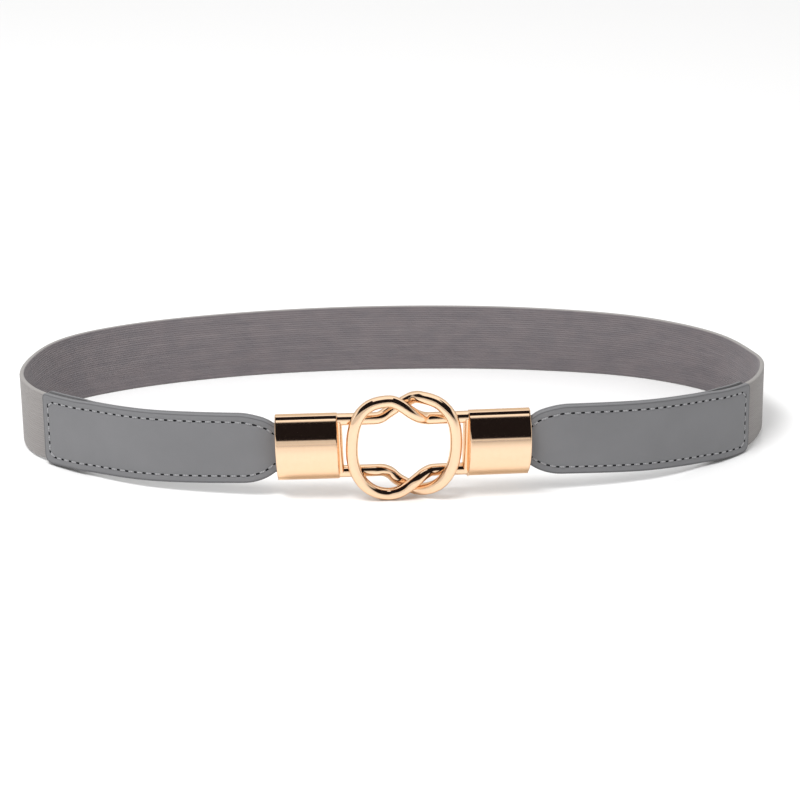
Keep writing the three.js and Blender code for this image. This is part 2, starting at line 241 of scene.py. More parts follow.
class Curve:
    """A Catmull-Rom curve through points, centripetal or uniform, read by share or by length."""

    def __init__(self, points, centripetal=True, samples=2400):
        self.points = [2 * points[0] - points[1], *points, 2 * points[-1] - points[-2]]
        self.centripetal = centripetal
        self.spans = len(points) - 1
        self.samples = samples
        self.lengths = [0.0]
        last = self.at(0)
        for k in range(1, samples + 1):
            place = self.at(k / samples)
            self.lengths.append(self.lengths[-1] + (place - last).length)
            last = place
        self.length = self.lengths[-1]

    def at(self, share):
        span = min(int(share * self.spans), self.spans - 1)
        t = share * self.spans - span
        a, b, c, d = self.points[span:span + 4]
        if self.centripetal:
            first, middle, final = (max((q - p).length, 1e-8) ** 0.5 for p, q in ((a, b), (b, c), (c, d)))
            start = ((b - a) / first - (c - a) / (first + middle) + (c - b) / middle) * middle
            end = ((c - b) / middle - (d - b) / (middle + final) + (d - c) / final) * middle
        else:
            start, end = (c - a) / 2, (d - b) / 2
        return (b + start * t + (3 * (c - b) - 2 * start - end) * t ** 2
                + (2 * (b - c) + start + end) * t ** 3)

    def share_at(self, distance):
        distance = min(max(distance, 0), self.length)
        after = max(1, bisect_left(self.lengths, distance))
        low, high = self.lengths[after - 1], self.lengths[after]
        return (after - 1 + (distance - low) / max(high - low, 1e-9)) / self.samples


def half_matrix(name):
    """Where one half of the buckle stands: lean about X, then pitch about Y, then turn about Z."""
    side = SIDES[name]
    height = WIRE_DIAMETER / 2 + RING_HALF_HEIGHT["right"] + BUCKLE_LIFT[name]
    return (Matrix.Translation((BUCKLE_OFFSET, -FRONT_DEPTH, height))
            @ Matrix.Rotation(side * math.radians(BUCKLE_TURN), 4, "Z")
            @ Matrix.Rotation(side * math.radians(BUCKLE_PITCH[name]), 4, "Y")
            @ Matrix.Rotation(math.radians(BUCKLE_LEAN), 4, "X"))


class Strap:
    """The line of the webbing's lower edge, from the left neck round the back to the right neck."""

    def __init__(self):
        left, right = self.knots("left"), self.knots("right")
        knots = left[::-1] + right[1:]
        self.line = Curve([Vector(point) for point, lean in knots])
        self.leans = Curve([Vector((lean, 0, 0)) for point, lean in knots], centripetal=False)
        self.length = self.line.length
        self.tab = NECK_TUCK + TAB_LENGTH
        self.shift = Vector((0, 0, 0))
        self.settle()

    def knots(self, name):
        side = SIDES[name]
        matrix = half_matrix(name)

        def on_axis(reach):
            return matrix @ Vector((side * reach, 0, -WEBBING_WIDTH / 2))

        mouth = on_axis(SLEEVE_MOUTH)
        knots = []
        for row in (LOOP_BACK, *LOOP_ROWS[name]):
            depth = BACK_DEPTH if row.y > 0 else FRONT_DEPTH
            height = OVERHANG * row.rest + (mouth.z - OVERHANG) * row.rise
            knots.append(((side * row.x * LOOP_HALF_WIDTH, row.y * depth, height), row.lean))
        for reach in (SLEEVE_MOUTH + SHOULDER_RADIUS / 2, SLEEVE_MOUTH, SLEEVE_MOUTH - NECK_TUCK):
            knots.append((on_axis(reach), BUCKLE_LEAN))
        return knots

    def section(self, distance):
        """Origin, tangent, up and out of the strap at a distance along it, in millimetres."""
        share = self.line.share_at(distance)
        origin = self.line.at(share)
        origin.z = max(origin.z, 0)
        step = 1e-4
        tangent = (self.line.at(min(share + step, 1)) - self.line.at(max(share - step, 0))).normalized()
        lean = math.radians(self.leans.at(share).x)
        out = Vector((-tangent.y, tangent.x, 0)).normalized()
        up = out.cross(tangent).normalized()
        if up.z < 0:
            up.negate()
        lean_up = up * math.cos(lean) + out * math.sin(lean)
        lean_out = out * math.cos(lean) - up * math.sin(lean)
        return origin + self.shift, tangent, lean_up, lean_out, math.tan(lean)

    def place(self, section, height, offset):
        origin, _, up, out, _ = section
        return (origin + up * height + out * offset) * MM

    def settle(self):
        """Moves the line to the CAD webbing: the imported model's origin is the middle of its outline."""
        half = WEBBING_THICKNESS / 2
        places = []
        for distance in spaced(self.tab - WEBBING_TUCK, self.length - self.tab + WEBBING_TUCK, 2):
            section = self.section(distance)
            places += [self.place(section, height, side * half)
                       for height in (0, WEBBING_WIDTH) for side in (-1, 1)]
        low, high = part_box("elastic_webbing")
        middle = (min(p.x for p in places) + max(p.x for p in places)) / 2
        back = max(p.y for p in places)
        self.shift = Vector(((low.x + high.x) / 2 - middle, high.y - back, 0)) / MM


strap = Strap()


# Meshes

def mesh_object(name, points, faces, uvs=None, attributes=None):
    """A mesh object with its place in its mesh. uvs and attributes hold one entry for each point."""
    mesh = bpy.data.meshes.new(name)
    mesh.from_pydata([tuple(p) for p in points], [], faces)
    if uvs:
        layer = mesh.uv_layers.new(name="UVMap")
        corners = [0] * len(mesh.loops)
        mesh.loops.foreach_get("vertex_index", corners)
        layer.data.foreach_set("uv", [c for k in corners for c in uvs[k]])
    for key, values in (attributes or {}).items():
        if isinstance(values[0], (int, float)):
            mesh.attributes.new(key, "FLOAT", "POINT").data.foreach_set("value", values)
        else:
            flat = [c for value in values for c in value]
            mesh.attributes.new(key, "FLOAT_VECTOR", "POINT").data.foreach_set("vector", flat)
    mesh.shade_smooth()
    piece = bpy.data.objects.new(name, mesh)
    bpy.context.scene.collection.objects.link(piece)
    return piece


def ring_faces(rings, count, start=0, cap_first=True, cap_last=True):
    """Quads between rings of the same number of points, wound so that they face outwards."""
    faces = []
    for row in range(rings - 1):
        for k in range(count):
            a = start + row * count + k
            b = start + row * count + (k + 1) % count
            faces.append((a, b, b + count, a + count))
    if cap_first:
        faces.append(tuple(start + k for k in reversed(range(count))))
    if cap_last:
        last = start + (rings - 1) * count
        faces.append(tuple(last + k for k in range(count)))
    return faces


def face_outwards(piece):
    """Recalculates the normals of closed shells and merges doubled points."""
    shape = bmesh.new()
    shape.from_mesh(piece.data)
    bmesh.ops.remove_doubles(shape, verts=shape.verts, dist=1e-7)
    bmesh.ops.dissolve_degenerate(shape, edges=shape.edges, dist=1e-8)
    bmesh.ops.recalc_face_normals(shape, faces=shape.faces)
    shape.to_mesh(piece.data)
    shape.free()
    piece.data.shade_smooth()


def hand_over(piece, slot, *nodes):
    """Lets a finished piece ride on the belt and stand for its CAD nodes."""
    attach(piece, "root")
    if nodes:
        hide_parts(*nodes)


# Nodes

class Signal:
    """An output socket that adds Math nodes when it is used in a Python expression."""

    def __init__(self, bench, socket):
        self.bench = bench
        self.socket = socket

    def math(self, operation, *values):
        return self.bench.node("ShaderNodeMath", {"operation": operation}, list(values))

    def __add__(self, other):
        return self.math("ADD", self, other)

    def __radd__(self, other):
        return self.math("ADD", other, self)

    def __sub__(self, other):
        return self.math("SUBTRACT", self, other)

    def __rsub__(self, other):
        return self.math("SUBTRACT", other, self)

    def __mul__(self, other):
        return self.math("MULTIPLY", self, other)

    def __rmul__(self, other):
        return self.math("MULTIPLY", other, self)

    def __pow__(self, other):
        return self.math("POWER", self, other)

    def sine(self):
        return self.math("SINE", self)

    def fraction(self):
        return self.math("FRACT", self)

    def floor(self):
        return self.math("FLOOR", self)

    def size(self):
        return self.math("ABSOLUTE", self)

    def between(self, low, high):
        """0 below low, 1 above high and smooth between them."""
        return self.bench.node("ShaderNodeMapRange", {"interpolation_type": "SMOOTHSTEP"},
                               {"Value": self, "From Min": low, "From Max": high})


class Bench:
    """Adds nodes to a tree."""

    def __init__(self, tree):
        self.tree = tree

    def node(self, kind, settings=None, inputs=None, output=0):
        """One node: its settings first, then its sockets' values or links. Returns an output as a Signal."""
        made = self.tree.nodes.new(kind)
        for key, value in (settings or {}).items():
            setattr(made, key, value)
        pairs = enumerate(inputs) if isinstance(inputs, list) else (inputs or {}).items()
        for key, value in pairs:
            if isinstance(value, Signal):
                self.tree.links.new(value.socket, made.inputs[key])
            elif value is not None:
                made.inputs[key].default_value = value
        return Signal(self, made.outputs[output]) if len(made.outputs) else made

    def mix(self, factor, first, second):
        """A colour between two colours."""
        first, second = (c if isinstance(c, Signal) else (*c, 1) for c in (first, second))
        return self.node("ShaderNodeMix", {"data_type": "RGBA"}, {0: factor, 6: first, 7: second}, output=2)

    def noise(self, place, scale, detail=2.0, roughness=0.5):
        return self.node("ShaderNodeTexNoise", None,
                         {"Vector": place, "Scale": scale, "Detail": detail, "Roughness": roughness})

    def cells(self, place, scale):
        return self.node("ShaderNodeTexVoronoi", None, {"Vector": place, "Scale": scale})

    def vector(self, x, y, z=0.0):
        return self.node("ShaderNodeCombineXYZ", None, [x, y, z])

    def parts(self, vector):
        made = self.node("ShaderNodeSeparateXYZ", None, [vector])
        outputs = made.socket.node.outputs
        return [Signal(self, outputs[k]) for k in range(3)]

    def attribute(self, name):
        return self.node("ShaderNodeAttribute", {"attribute_name": name}, None, output="Fac")

    def bump(self, height, distance, strength=1.0, under=None):
        return self.node("ShaderNodeBump", None,
                         {"Strength": strength, "Distance": distance, "Height": height, "Normal": under})


class Finish(Bench):
    """A new material with one Principled shader."""

    def __init__(self, name):
        self.material = bpy.data.materials.new(name)
        self.material.use_nodes = True
        super().__init__(self.material.node_tree)
        self.tree.nodes.clear()
        self.objects = self.node("ShaderNodeTexCoord", None, None, output="Object")
        self.uv = Signal(self, self.objects.socket.node.outputs["UV"])

    def surface(self, colour, **inputs):
        """Ends the material. A constant goes onto the shader's own socket."""
        values = {"Base Color": colour}
        values.update({key.replace("_", " "): value for key, value in inputs.items()})
        for key, value in values.items():
            if isinstance(value, tuple) and len(value) == 3:
                values[key] = (*value, 1)
        shader = self.node("ShaderNodeBsdfPrincipled", None, values)
        self.node("ShaderNodeOutputMaterial", None, {"Surface": shader})
        return self.material


class Maker(Bench):
    """A new geometry node tree. Its inputs are (name, socket type, default)."""

    def __init__(self, name, *inputs):
        tree = bpy.data.node_groups.new(name, "GeometryNodeTree")
        super().__init__(tree)
        tree.interface.new_socket("Geometry", in_out="INPUT", socket_type="NodeSocketGeometry")
        for title, kind, default in inputs:
            socket = tree.interface.new_socket(title, in_out="INPUT", socket_type=kind)
            if default is not None:
                socket.default_value = default
        tree.interface.new_socket("Geometry", in_out="OUTPUT", socket_type="NodeSocketGeometry")
        group = tree.nodes.new("NodeGroupInput")
        self.given = {socket.name: Signal(self, socket) for socket in group.outputs if socket.name}

    def named(self, name, kind="FLOAT"):
        return self.node("GeometryNodeInputNamedAttribute", {"data_type": kind}, [name])

    def stored(self, geometry, name, value):
        return self.node("GeometryNodeStoreNamedAttribute", {"data_type": "FLOAT"},
                         {"Geometry": geometry, "Name": name, "Value": value})

    def circle(self, sides, radius):
        return self.node("GeometryNodeCurvePrimitiveCircle", {"mode": "RADIUS"},
                         {"Resolution": sides, "Radius": radius})

    def smooth(self, mesh):
        return self.node("GeometryNodeSetShadeSmooth", None, {"Geometry": mesh})

    def tube(self, line, profile):
        return self.smooth(self.node("GeometryNodeCurveToMesh", None,
                                     {"Curve": line, "Profile Curve": profile, "Fill Caps": True}))

    def end(self, geometry, material):
        """Realizes the instances, sets the material and ends the tree."""
        solid = self.node("GeometryNodeRealizeInstances", None, [geometry])
        painted = self.node("GeometryNodeSetMaterial", None, {"Geometry": solid, "Material": material})
        self.node("NodeGroupOutput", None, [painted])
        return self.tree


def run_tree(piece, tree, **values):
    """Runs a tree on a piece and keeps the result as its plain mesh."""
    modifier = piece.modifiers.new(tree.name, "NODES")
    modifier.node_group = tree
    for socket in tree.interface.items_tree:
        if socket.item_type == "SOCKET" and socket.in_out == "INPUT" and socket.name in values:
            modifier[socket.identifier] = values[socket.name]
    bpy.context.view_layer.update()
    graph = bpy.context.evaluated_depsgraph_get()
    seen = piece.evaluated_get(graph)
    mesh = bpy.data.meshes.new_from_object(seen, preserve_all_data_layers=True, depsgraph=graph)
    piece.modifiers.remove(modifier)
    piece.data = mesh
    mesh.name = piece.name
    return piece


# Finishes

def elastic_finish(colours, sizes):
    """Ribbed elastic: fine lengthwise ribs and a slanted knit, with painted shade in the grooves, the outer
    face painted lighter as lit and a painted highlight along both edges.
    """
    f = Finish("elastic webbing")
    along, across, _ = f.parts(f.uv)
    along, across = along * (1 / MM), across * (1 / MM)
    phase = across * (sizes.rib_count / WEBBING_WIDTH)
    groove = ((phase.fraction() - 0.5).size() * 2).between(0.45, 1.0)
    rib = f.node("ShaderNodeTexWhiteNoise", {"noise_dimensions": "1D"}, {"W": phase.floor()})
    slant = ((along * 1.0 + across * 0.75) * math.tau).sine()
    knit = slant * ((along * 1.2 - across * 1.1) * math.tau).sine()
    streaks = f.noise(f.vector(along * 0.05, across * 1.6), 1.0, 3.0, 0.6)
    patches = f.noise(f.vector(along * 0.12, across * 0.2), 1.0, 2.0, 0.5)
    fuzz = f.noise(f.objects, 2600, 2.0, 0.7)
    face = f.attribute("outside")
    outside = face.between(0.0, 0.6)
    # Painted highlight: both edges of the band are painted lighter, standing in for the light that falls on
    # the top edge from above.
    rim = 1 - face.size().between(0.2, 0.9)
    inner = f.mix(patches.between(0.3, 0.7), colours.elastic, colours.elastic_warm)
    # Painted light: the outer face is painted lighter as lit, and the inner face keeps the darker grey as
    # shaded by the loop.
    tone = f.mix(outside, inner, colours.elastic_lit_outer)
    tone = f.mix(streaks.between(0.35, 0.85) * 0.35, tone, colours.elastic_light)
    # The shade mix holds painted shade in the grooves between the ribs, plus a random tone for each rib and
    # the knit pattern.
    shade = groove * (0.30 - outside * 0.18) + rib * 0.06 + (knit * 0.5 + 0.5) * (outside * 0.16 + 0.08)
    tone = f.mix(shade, tone, colours.elastic_groove_shade)
    tone = f.mix(rim * 0.9, tone, colours.elastic_lit_rim)
    height = knit * 0.4 + fuzz * 0.8 - groove * 0.4
    normal = f.bump(height, 0.00008, 0.8)
    return f.surface(tone, Roughness=0.72 + fuzz * 0.2, Normal=normal, Specular_IOR_Level=0.25,
                     Sheen_Weight=0.2, Sheen_Roughness=0.45)


def leather_finish(colours):
    """Smooth coated leather: fine pores, a painted cut edge that is painted darker towards the bottom as
    shade, and a crease beside it darkened with painted shade.
    """
    f = Finish("leather")
    _, height, _ = f.parts(f.uv)
    edge = f.attribute("edge_distance")
    pores = f.cells(f.objects, 1500)
    grain = f.noise(f.objects, 900, 4.0, 0.6)
    clouds = f.noise(f.objects, 45, 3.0, 0.55)
    paint = 1 - edge.between(0.22, 0.34)
    # Painted shade along the crease beside the painted edge.
    crease = edge.between(0.26, 0.42) * (1 - edge.between(0.55, 0.85))
    # Painted shade: the edge paint darkens towards the tab's lower edge, which faces away from the light.
    edge_tone = f.mix(height.between(0.0, 0.012), colours.edge_paint_shade, colours.edge_paint)
    tone = f.mix(clouds.between(0.25, 0.75), colours.leather, colours.leather_light)
    tone = f.mix(crease * 0.5, tone, colours.leather_shade)
    tone = f.mix(paint * 0.85, tone, edge_tone)
    normal = f.bump(pores * 0.5 + grain * 0.6, 0.00006, 0.35)
    rough = 0.40 + grain * 0.12 + paint * 0.08
    return f.surface(tone, Roughness=rough, Normal=normal, Specular_IOR_Level=0.42)


def gold_finish(colours):
    """Polished light gold with the faint waviness and haze of plated metal."""
    f = Finish("gold metal")
    waves = f.noise(f.objects, 120, 2.0, 0.4)
    haze = f.noise(f.objects, 700, 3.0, 0.6)
    tone = f.mix(haze.between(0.3, 0.7) * 0.25, colours.gold, colours.gold_deep)
    normal = f.bump(waves, 0.00003, 0.12)
    return f.surface(tone, Metallic=1.0, Roughness=0.055 + haze * 0.05, Normal=normal,
                     Specular_Tint=tuple(colours.gold_rim))


def thread_finish(colours):
    """Two-ply thread: slanted strands along each stitch, with painted shade between the strands."""
    f = Finish("thread")
    strands = ((f.attribute("strand_along") * 4 + f.attribute("strand_round")) * math.tau).sine()
    tone = f.mix(strands.between(-0.9, 0.2), colours.thread_shade, colours.thread)
    normal = f.bump(strands, 0.00008, 0.8)
    return f.surface(tone, Roughness=0.6, Normal=normal, Sheen_Weight=0.2)


def hole_finish(colours):
    """The shadow inside a needle hole."""
    f = Finish("needle hole")
    tone = f.mix(f.noise(f.objects, 3000) * 0.25, colours.hole, colours.leather_shade)
    return f.surface(tone, Roughness=0.95, Specular_IOR_Level=0.05)


def floor_finish(colours):
    """A white gloss surface."""
    f = Finish("floor")
    clouds = f.noise(f.objects, 3, 2.0)
    _, depth, _ = f.parts(f.objects)
    tone = f.mix(clouds * 0.03, colours.floor, (0.7, 0.72, 0.75))
    # Painted shade: the floor darkens towards the front, where the light falls off.
    tone = f.mix((0 - depth).between(0.08, 0.5), tone, colours.floor_front)
    return f.surface(tone, Roughness=0.18 + clouds * 0.05, Specular_IOR_Level=0.35)


# Webbing

def webbing_piece(sizes, material):
    """The band, with its ribs raised by a node tree."""
    rib = sizes.rib_height / MM
    half = WEBBING_THICKNESS / 2 - rib
    edge = half * WEBBING_ROUND_SHARE * WEBBING_FLAT_SHARE
    samples = sizes.rib_count * RIB_SAMPLES
    low, high = edge, WEBBING_WIDTH - edge
    ring = []
    for face, first, last in ((1, low, high), (-1, high, low)):
        for k in range(samples + 1):
            share = k / samples if face > 0 else 1 - k / samples
            ring.append((first + (last - first) * k / samples, face * half, share, face))
        for k in range(1, WEBBING_EDGE_STEPS):
            angle = math.pi * k / WEBBING_EDGE_STEPS
            ring.append((last + face * edge * math.sin(angle), face * half * math.cos(angle), 0, 0))
    start = strap.tab - WEBBING_TUCK
    distances = spaced(start, strap.length - start, WEBBING_STEP)
    points, uvs, across, push, outside = [], [], [], [], []
    for distance in distances:
        section = strap.section(distance)
        out, slope = section[3], section[4]
        for height, offset, share, face in ring:
            level = height + offset * slope if height < low else height
            points.append(strap.place(section, level, offset))
            uvs.append((distance * MM, height * MM))
            across.append(share)
            push.append(tuple(out * face))
            outside.append(float(face))
    faces = ring_faces(len(distances), len(ring))
    attributes = {"across": across, "push": push, "outside": outside}
    piece = mesh_object("elastic_webbing_band", points, faces, uvs, attributes)
    values = {"Rib Count": sizes.rib_count, "Rib Height": sizes.rib_height, "Material": material}
    return run_tree(piece, rib_tree(), **values)


def rib_tree():
    """Raises lengthwise ribs on both faces of a band and lets its surface waver a little."""
    m = Maker("Lengthwise ribs", ("Rib Count", "NodeSocketInt", 20),
              ("Rib Height", "NodeSocketFloat", 0.0002), ("Waver", "NodeSocketFloat", 0.00012),
              ("Material", "NodeSocketMaterial", None))
    place = m.node("GeometryNodeInputPosition")
    phase = (m.named("across") * m.given["Rib Count"]).fraction()
    profile = (phase * (1 - phase) * 4) ** 0.7
    wander = m.noise(place, 35, 2.0) - 0.5
    lift = profile * m.given["Rib Height"] + wander * m.given["Waver"]
    push = m.named("push", "FLOAT_VECTOR")
    offset = m.node("ShaderNodeVectorMath", {"operation": "SCALE"}, {0: push, "Scale": lift})
    moved = m.node("GeometryNodeSetPosition", None, {"Geometry": m.given["Geometry"], "Offset": offset})
    return m.end(moved, m.given["Material"])


# Leather

def corner_cut(from_end, radius):
    """How far a rounded corner takes the outline in at a distance from the tab's far end."""
    return radius - math.sqrt(radius ** 2 - (radius - from_end) ** 2) if from_end < radius else 0


def shoulder_cut(from_mouth):
    """How far the shoulder takes the outline in at a distance from the sleeve's mouth."""
    drop = (LEATHER_WIDTH - NECK_WIDTH) / 2
    length = math.sqrt(2 * SHOULDER_RADIUS * drop - drop ** 2)
    into = min(max(length + CLEARANCE - from_mouth, 0), length)
    return SHOULDER_RADIUS - math.sqrt(SHOULDER_RADIUS ** 2 - into ** 2)


def shoulder_slope(from_end):
    """How steeply the shoulder cuts in at a distance from the tab's far end."""
    step = 0.05
    return (shoulder_cut(TAB_LENGTH - from_end - step) - shoulder_cut(TAB_LENGTH - from_end)) / step


def tab_edges(from_end):
    """Lower and upper edge of the leather at a distance from its far end."""
    shoulder = shoulder_cut(TAB_LENGTH - from_end)
    low = -OVERHANG + corner_cut(from_end, CORNER_BOTTOM_RADIUS) + shoulder
    high = WEBBING_WIDTH + OVERHANG - corner_cut(from_end, CORNER_TOP_RADIUS) - shoulder
    return low, high


def edge_distance(from_end, height):
    """How far a point of the tab is from its outline."""
    shoulder = shoulder_cut(TAB_LENGTH - from_end)
    straight = math.cos(math.atan(shoulder_slope(from_end)))
    below = (height + OVERHANG - shoulder) * straight
    above = (WEBBING_WIDTH + OVERHANG - shoulder - height) * straight
    distance = min(below, above, from_end)
    for gap, radius in ((below, CORNER_BOTTOM_RADIUS), (above, CORNER_TOP_RADIUS)):
        if gap < radius and from_end < radius:
            distance = min(distance, radius - math.hypot(radius - gap, radius - from_end))
    return max(distance, 0)


def ply_gap(from_end):
    """Distance of a ply's inner face from the strap's middle: it closes up past the webbing's end."""
    start, end = WEBBING_TUCK + CLEARANCE, WEBBING_TUCK + PLY_MERGE
    half = WEBBING_THICKNESS / 2
    return half + PLY_SEAT + (PLY_CLOSE - half) * smoothstep(from_end, start, end)


def leather_relief(distance, sizes):
    """Height of the leather's face over its flat level: rounded edge, sewn channel and crease."""
    radius = sizes.edge_round / MM
    inset = sizes.stitch_inset / MM
    relief = 0
    if distance < radius:
        relief -= radius - math.sqrt(radius ** 2 - (radius - distance) ** 2)
    relief -= SEAM_DEPTH * math.exp(-((distance - inset) / SEAM_HALF_WIDTH) ** 2)
    relief -= CREASE_DEPTH * math.exp(-((distance - CREASE_INSET) / CREASE_HALF_WIDTH) ** 2)
    return relief


def face_offset(from_end, height, ply, sizes):
    """Offset of a ply's outer face from the strap's middle."""
    thickness = FRONT_PLY if ply > 0 else BACK_PLY
    level = ply_gap(from_end) + thickness
    return ply * (level + leather_relief(edge_distance(from_end, height), sizes))


def tab_section(name, from_end):
    """The strap's section at a distance from a tab's far end."""
    along = strap.tab - from_end
    return strap.section(along if name == "left" else strap.length - along)


def ply_piece(name, ply, sizes, material):
    """One leather ply of a tab, with its outline followed by close rows of points."""
    inner_shares = [k / 8 for k in range(1, 8)]
    from_ends = PLY_INSETS + spaced(PLY_INSETS[-1], TAB_LENGTH - SHOULDER_RADIUS, 1.6)[1:]
    from_ends += spaced(TAB_LENGTH - SHOULDER_RADIUS, TAB_LENGTH, 0.9)[1:]
    from_ends += spaced(TAB_LENGTH, TAB_LENGTH + NECK_TUCK, 2.5)[1:]
    points, uvs, distances = [], [], []
    count = 0
    for from_end in from_ends:
        low, high = tab_edges(from_end)
        bottom, top = low + PLY_INSETS[-1], high - PLY_INSETS[-1]
        heights = [low + d for d in PLY_INSETS]
        heights += [bottom + (top - bottom) * share for share in inner_shares]
        heights += [high - d for d in reversed(PLY_INSETS)]
        section = tab_section(name, from_end)
        inner = ply * ply_gap(from_end)
        outer_row = [(h, face_offset(from_end, h, ply, sizes)) for h in heights]
        inner_row = [(h, inner) for h in reversed(heights)]
        for height, offset in outer_row + inner_row:
            points.append(strap.place(section, height, offset))
            uvs.append((from_end * MM, height * MM))
        distances += [edge_distance(from_end, h) for h, _ in outer_row] + [0.0] * len(inner_row)
        count = len(outer_row) + len(inner_row)
    faces = ring_faces(len(from_ends), count, cap_first=False, cap_last=False)
    half = count // 2
    for start in (0, (len(from_ends) - 1) * count):
        for k in range(half - 1):
            faces.append((start + k, start + k + 1, start + count - 2 - k, start + count - 1 - k))
    title = "front" if ply > 0 else "back"
    piece = mesh_object(f"{name}_{title}_leather_ply", points, faces, uvs, {"edge_distance": distances})
    face_outwards(piece)
    piece.data.materials.append(material)
    return piece


# Stitching

def stitch_route(inset):
    """The sewn line on a tab as (from_end, height) points: along the top, down the far end and back."""
    corner = STITCH_CORNER
    top = WEBBING_WIDTH + OVERHANG - inset
    upper = []
    for from_end in reversed(spaced(inset + corner, TAB_LENGTH + 2, 0.5)):
        turned = inset * (math.hypot(1, shoulder_slope(from_end)) - 1)
        upper.append((from_end, top - shoulder_cut(TAB_LENGTH - from_end) - turned))
    for angle in spaced(0, math.pi / 2, 0.2)[1:]:
        upper.append((inset + corner * (1 - math.sin(angle)), top - corner * (1 - math.cos(angle))))
    end = [(inset, height) for height in spaced(top - corner, WEBBING_WIDTH - top + corner, 0.5)[1:-1]]
    return upper + end + [(s, WEBBING_WIDTH - h) for s, h in reversed(upper)]


def along_route(route, pitch):
    """Points at equal steps along a route of (from_end, height) points."""
    lengths = [0.0]
    for (s0, h0), (s1, h1) in zip(route, route[1:]):
        lengths.append(lengths[-1] + math.hypot(s1 - s0, h1 - h0))
    count = round(lengths[-1] / pitch)
    stops = []
    for k in range(count + 1):
        distance = lengths[-1] * k / count
        after = min(max(1, bisect_left(lengths, distance)), len(route) - 1)
        share = (distance - lengths[after - 1]) / max(lengths[after] - lengths[after - 1], 1e-9)
        (s0, h0), (s1, h1) = route[after - 1], route[after]
        stops.append((s0 + (s1 - s0) * share, h0 + (h1 - h0) * share))
    return stops


def stitch_tree():
    """A row of sewn stitches: a bowed thread from each point to the next."""
    m = Maker("Stitch row", ("Length", "NodeSocketFloat", 0.0026), ("Radius", "NodeSocketFloat", 0.0003),
              ("Bow", "NodeSocketFloat", 0.0003), ("Sink", "NodeSocketFloat", 0.00015),
              ("Material", "NodeSocketMaterial", None))
    half = m.given["Length"] * 0.5
    low = m.given["Sink"] * -1
    bow = m.node("GeometryNodeCurveQuadraticBezier", None, {
        "Resolution": 6, "Start": m.vector(half * -1, 0.0, low), "Middle": m.vector(0.0, 0.0, m.given["Bow"]),
        "End": m.vector(half, 0.0, low)})
    share = m.node("GeometryNodeSplineParameter")
    line = m.stored(bow, "strand_along", share)
    around = m.stored(m.circle(8, m.given["Radius"]), "strand_round", share)
    return placed(m, m.tube(line, around))


def hole_tree():
    """A row of needle holes: a flat dark dimple at each point."""
    m = Maker("Needle holes", ("Length", "NodeSocketFloat", 0.0012), ("Width", "NodeSocketFloat", 0.0006),
              ("Depth", "NodeSocketFloat", 0.0003), ("Material", "NodeSocketMaterial", None))
    ball = m.node("GeometryNodeMeshUVSphere", None, {"Segments": 10, "Rings": 6, "Radius": 0.5})
    size = m.vector(m.given["Length"], m.given["Width"], m.given["Depth"])
    dimple = m.node("GeometryNodeTransform", None, {"Geometry": ball, "Scale": size})
    return placed(m, m.smooth(dimple))


def placed(m, shape):
    """Puts a shape on every point, its X along the seam and its Z out of the leather."""
    turn = m.node("FunctionNodeAxesToRotation", {"primary_axis": "Z", "secondary_axis": "X"},
                  [m.named("normal", "FLOAT_VECTOR"), m.named("seam", "FLOAT_VECTOR")])
    row = m.node("GeometryNodeInstanceOnPoints", None,
                 {"Points": m.given["Geometry"], "Instance": shape, "Rotation": turn})
    return m.end(row, m.given["Material"])


def seam_points(name, ply, sizes, shift):
    """Places, seam directions and normals of a tab's stitches, moved on by a share of the pitch."""
    stops = along_route(stitch_route(sizes.stitch_inset / MM), sizes.stitch_pitch / MM)

    def on_leather(from_end, height):
        section = tab_section(name, from_end)
        return strap.place(section, height, face_offset(from_end, height, ply, sizes)), section[3] * ply

    places, seams, normals = [], [], []
    for (s0, h0), (s1, h1) in zip(stops, stops[1:]):
        place, normal = on_leather(s0 + (s1 - s0) * shift, h0 + (h1 - h0) * shift)
        seam = on_leather(s1, h1)[0] - on_leather(s0, h0)[0]
        places.append(place)
        seams.append(tuple(seam.normalized()))
        normals.append(tuple(normal))
    return places, seams, normals


def stitching_piece(title, sizes, shift, tree, values):
    """All rows of one kind, front and back, as one piece."""
    places, seams, normals = [], [], []
    for name in SIDES:
        for ply in (1, -1):
            row_places, row_seams, row_normals = seam_points(name, ply, sizes, shift)
            places += row_places
            seams += row_seams
            normals += row_normals
    piece = mesh_object(title, places, [], None, {"seam": seams, "normal": normals})
    return run_tree(piece, tree, **values)


# Buckle

def wire_route(name):
    """The wire's centre line: out of the sleeve, round the hook and back, in the half's own frame."""
    away = -SIDES[name]
    forward = -SIDES[name] * (WIRE_DIAMETER / 2 + CLEARANCE)
    arm = ARM_SPACING / 2
    half_height = RING_HALF_HEIGHT[name]
    start = -(SLEEVE_MOUTH - SLEEVE_LENGTH) - BAR_WIDTH / 2
    halves = {}
    for level, corner in HOOK_CORNER.items():
        points = [(start, 0, arm)]
        for row in STRAND_ROWS[level]:
            points.append((row.along * RING_REACH, forward * row.cross, arm + (half_height - arm) * row.rise))
        for row in HOOK_ROWS:
            angle = math.radians(row.angle)
            x = RING_CROWN + (RING_REACH - RING_CROWN) * math.sin(angle) ** corner
            y = forward * row.cross - HOOK_PROUD * row.proud
            points.append((x, y, half_height * math.cos(angle) ** corner))
        halves[level] = [Vector((away * x, y, level * z)) for x, y, z in points]
    route = halves[1] + halves[-1][::-1]
    for point in route:
        share = smoothstep(away * point.x, -RING_REACH / 2, 0)
        point.rotate(Matrix.Rotation(share * away * math.radians(HOOK_SWING[name]), 3, "Y"))
    return Curve(route)


def wire_tree():
    """Drawn round wire along an edge line."""
    m = Maker("Round wire", ("Radius", "NodeSocketFloat", 0.002), ("Sides", "NodeSocketInt", 40),
              ("Material", "NodeSocketMaterial", None))
    line = m.node("GeometryNodeMeshToCurve", None, {"Mesh": m.given["Geometry"]})
    circle = m.circle(m.given["Sides"], m.given["Radius"])
    return m.end(m.tube(line, circle), m.given["Material"])


